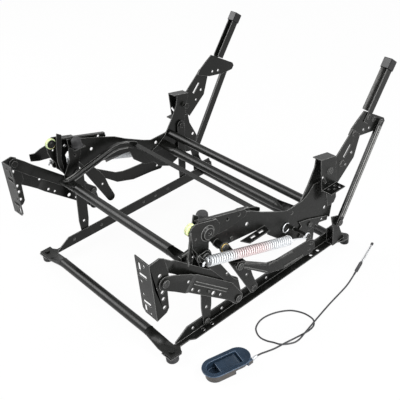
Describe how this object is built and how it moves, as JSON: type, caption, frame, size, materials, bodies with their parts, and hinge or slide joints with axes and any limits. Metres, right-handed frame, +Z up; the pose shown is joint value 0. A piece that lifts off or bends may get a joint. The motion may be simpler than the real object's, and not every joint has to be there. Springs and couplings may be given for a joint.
{
  "type": "recliner mechanism",
  "caption": "Black steel manual recliner mechanism with swing legs, fold-out footrest linkage, tilting back posts, coil springs and a loose cable release cup",
  "frame": {"origin": "centre of the base bolt pattern, in the underside of the rail soles", "axes": "+Z up, the footrest faces -Y, +X to the sitter's left hand rail"},
  "size_m": [0.7501, 0.8059, 0.4777],
  "materials": {
    "black_paint": "satin black powder coat",
    "black_rubber": "matte moulded rubber",
    "black_plastic": "moulded black plastic",
    "pale_nylon": "natural nylon",
    "zinc_wire": "bright zinc plate",
    "navy_plastic": "dark navy moulded plastic"
  },
  "bodies": {
    "base": {"rail_r": "black_paint", "rail_l": "black_paint", "front_tube": "black_paint", "rear_tube": "black_paint", "foot_r": "black_rubber", "foot_l": "black_rubber", "end_bracket_r": "black_paint", "end_bracket_l": "black_paint", "pull_cup": "navy_plastic", "ferrule": "zinc_wire", "cable": "black_plastic", "cable_barrel": "black_plastic", "return_spring": "zinc_wire"},
    "front_legs": {"leg_r": "black_paint", "leg_l": "black_paint"},
    "rear_links": {"rear_link_r": "black_paint", "rear_link_l": "black_paint"},
    "seat": {"seat_plate_r": "black_paint", "seat_plate_l": "black_paint", "front_bracket_r": "black_paint", "front_bracket_l": "black_paint", "bumper_r": "black_rubber", "bumper_l": "black_rubber", "lug_r": "black_paint", "lug_l": "black_paint", "torque_tube": "black_paint", "flat_bar": "black_paint", "mid_tube": "black_paint", "top_tube": "black_paint", "seat_arms": "black_paint", "main_spring_r": "zinc_wire", "main_spring_l": "zinc_wire"},
    "back": {"back_plate_r": "black_paint", "back_plate_l": "black_paint", "tri_plate_r": "black_paint", "tri_plate_l": "black_paint", "post_r": "black_paint", "post_l": "black_paint", "cap_r": "black_plastic", "cap_l": "black_plastic"},
    "struts": {"strut_r": "black_paint", "strut_l": "black_paint"},
    "drive_links": {"drive_link_r": "black_paint", "drive_link_l": "black_paint"},
    "rear_arms": {"rear_arm_r": "black_paint", "rear_arm_l": "black_paint"},
    "push_links": {"push_link_r": "black_paint", "push_link_l": "black_paint"},
    "long_links": {"long_link_r": "black_paint", "long_link_l": "black_paint"},
    "upper_links": {"upper_link_r": "black_paint", "upper_link_l": "black_paint"},
    "footrest": {"footrest_bracket_r": "black_paint", "footrest_bracket_l": "black_paint"},
    "roller_r": {"roller_r": "pale_nylon"},
    "roller_l": {"roller_l": "pale_nylon"},
    "latch_r": {"latch_r": "black_paint"},
    "latch_l": {"latch_l": "black_paint"},
    "paddle": {"paddle": "navy_plastic"},
    "wire_end": {"wire_end": "zinc_wire"}
  },
  "joints": [
    {"name": "recline", "type": "hinge", "parent": "base", "child": "front_legs", "pos_m": [0, -0.183, 0.014], "axis": [-1, 0, 0], "range_deg": [0, 22]},
    {"name": "rear_link_swing", "type": "hinge", "parent": "base", "child": "rear_links", "pos_m": [0, 0.174, 0.014], "axis": [-1, 0, 0], "range_deg": [0, 22]},
    {"name": "seat_level", "type": "hinge", "parent": "front_legs", "child": "seat", "pos_m": [0, -0.16688, 0.1983], "axis": [1, 0, 0], "range_deg": [0, 22]},
    {"name": "back_tilt", "type": "hinge", "parent": "seat", "child": "back", "pos_m": [0, 0.213, 0.25], "axis": [-1, 0, 0], "range_deg": [0, 16]},
    {"name": "strut_swing", "type": "hinge", "parent": "base", "child": "struts", "pos_m": [0, 0.256, 0.074], "axis": [-1, 0, 0], "range_deg": [0, 23]},
    {"name": "ottoman", "type": "hinge", "parent": "seat", "child": "drive_links", "pos_m": [0, -0.197, 0.232], "axis": [-1, 0, 0], "range_deg": [0, 72], "deforming": ["main_spring_r", "main_spring_l"]},
    {"name": "rear_arm_swing", "type": "hinge", "parent": "seat", "child": "rear_arms", "pos_m": [0, -0.142, 0.225], "axis": [-1, 0, 0], "range_deg": [0, 72]},
    {"name": "push_link_level", "type": "hinge", "parent": "rear_arms", "child": "push_links", "pos_m": [0, -0.11041, 0.15987], "axis": [1, 0, 0], "range_deg": [0, 72]},
    {"name": "long_link_swing", "type": "hinge", "parent": "drive_links", "child": "long_links", "pos_m": [0, -0.116, 0.065], "axis": [1, 0, 0], "range_deg": [0, 108]},
    {"name": "footrest_tilt", "type": "hinge", "parent": "long_links", "child": "footrest", "pos_m": [0, -0.316, 0.24], "axis": [-1, 0, 0], "range_deg": [0, 108]},
    {"name": "upper_link_swing", "type": "hinge", "parent": "drive_links", "child": "upper_links", "pos_m": [0, -0.117, 0.109], "axis": [1, 0, 0], "range_deg": [0, 108]},
    {"name": "roller_r_spin", "type": "hinge", "parent": "seat", "child": "roller_r", "pos_m": [0, -0.217, 0.306], "axis": [1, 0, 0], "continuous": true},
    {"name": "roller_l_spin", "type": "hinge", "parent": "seat", "child": "roller_l", "pos_m": [0, -0.217, 0.306], "axis": [1, 0, 0], "continuous": true},
    {"name": "latch_r_turn", "type": "hinge", "parent": "seat", "child": "latch_r", "pos_m": [0, 0.16, 0.112], "axis": [1, 0, 0], "range_deg": [0, 12]},
    {"name": "latch_l_turn", "type": "hinge", "parent": "seat", "child": "latch_l", "pos_m": [0, 0.16, 0.112], "axis": [1, 0, 0], "range_deg": [0, 12]},
    {"name": "paddle_lift", "type": "hinge", "parent": "base", "child": "paddle", "pos_m": [0.3812, -0.21045, 0.0005], "axis": [-0.9711, 0.2385, 0], "range_deg": [0, 30]},
    {"name": "wire_pull", "type": "slide", "parent": "base", "child": "wire_end", "axis": [0.3173, -0.9483, 0], "range_m": [0, 0.0101], "deforming": ["return_spring"]}
  ],
  "couplings": [
    {"joint": "rear_link_swing", "follows": "recline", "ratio": 1},
    {"joint": "seat_level", "follows": "recline", "ratio": 1},
    {"joint": "back_tilt", "follows": "recline", "ratio": 0.71},
    {"joint": "strut_swing", "follows": "recline", "ratio": 1.01},
    {"joint": "rear_arm_swing", "follows": "ottoman", "ratio": 1},
    {"joint": "push_link_level", "follows": "ottoman", "ratio": 1},
    {"joint": "long_link_swing", "follows": "ottoman", "ratio": 1.5},
    {"joint": "footrest_tilt", "follows": "ottoman", "ratio": 1.5},
    {"joint": "upper_link_swing", "follows": "ottoman", "ratio": 1.5},
    {"joint": "latch_l_turn", "follows": "latch_r_turn", "ratio": 1},
    {"joint": "wire_pull", "follows": "paddle_lift", "m_per_rad": 0.019}
  ]
}
